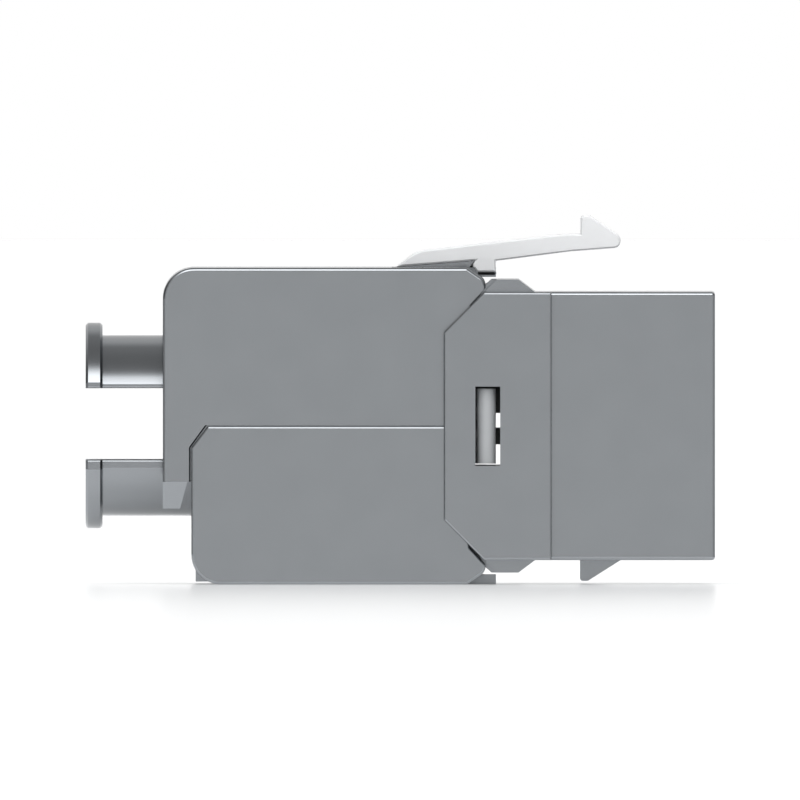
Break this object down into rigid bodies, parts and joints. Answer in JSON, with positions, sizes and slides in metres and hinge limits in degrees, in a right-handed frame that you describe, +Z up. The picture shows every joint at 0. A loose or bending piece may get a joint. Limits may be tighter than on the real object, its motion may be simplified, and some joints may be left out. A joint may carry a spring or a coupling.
{
  "type": "shielded keystone jack",
  "caption": "Metal keystone jack with a front plug port, two hinged rear covers with a split cable collar, and a plastic panel latch on top.",
  "frame": {"origin": "centre of the front face, on the axis of the plug port", "axes": "+X out of the plug port along the plug's axis, +Z up towards the latch, +Y across the jack to its left side seen from behind"},
  "size_m": [0.0384, 0.0166, 0.0225],
  "materials": {
    "die_cast_metal": "satin nickel-plated zinc die casting, neutral grey",
    "white_plastic": "white moulded plastic, fine satin",
    "black_plastic": "black moulded plastic, satin",
    "board_laminate": "green solder-masked laminate",
    "contact_gold": "gold-plated spring wire",
    "terminal_bronze": "tin-plated bronze strip",
    "spring_steel": "bright spring strip"
  },
  "bodies": {
    "housing": {"front_housing": "die_cast_metal", "contact_carrier": "black_plastic", "contact_1": "contact_gold", "contact_2": "contact_gold", "contact_3": "contact_gold", "contact_4": "contact_gold", "contact_5": "contact_gold", "contact_6": "contact_gold", "contact_7": "contact_gold", "contact_8": "contact_gold", "circuit_board": "board_laminate", "idc_block": "black_plastic", "idc_terminal_1": "terminal_bronze", "idc_terminal_2": "terminal_bronze", "idc_terminal_3": "terminal_bronze", "idc_terminal_4": "terminal_bronze", "idc_terminal_5": "terminal_bronze", "idc_terminal_6": "terminal_bronze", "idc_terminal_7": "terminal_bronze", "idc_terminal_8": "terminal_bronze", "wire_manager": "white_plastic", "shield_spring_left": "spring_steel", "shield_spring_right": "spring_steel"},
    "upper_cover": {"upper_cover": "die_cast_metal"},
    "lower_cover": {"lower_cover": "die_cast_metal"},
    "panel_latch": {"panel_latch": "white_plastic"}
  },
  "joints": [
    {"name": "upper_cover_hinge", "type": "hinge", "parent": "housing", "child": "upper_cover", "pos_m": [-0.01512, 0, 0.00852], "axis": [0, 1, 0], "range_deg": [0, 100]},
    {"name": "lower_cover_hinge", "type": "hinge", "parent": "housing", "child": "lower_cover", "pos_m": [-0.01512, 0, -0.00852], "axis": [0, -1, 0], "range_deg": [0, 100]},
    {"name": "latch_flex", "type": "hinge", "parent": "housing", "child": "panel_latch", "pos_m": [-0.01445, 0, 0.00945], "axis": [0, 1, 0], "range_deg": [0, 16], "stiffness_Nm_per_rad": 0.25}
  ]
}
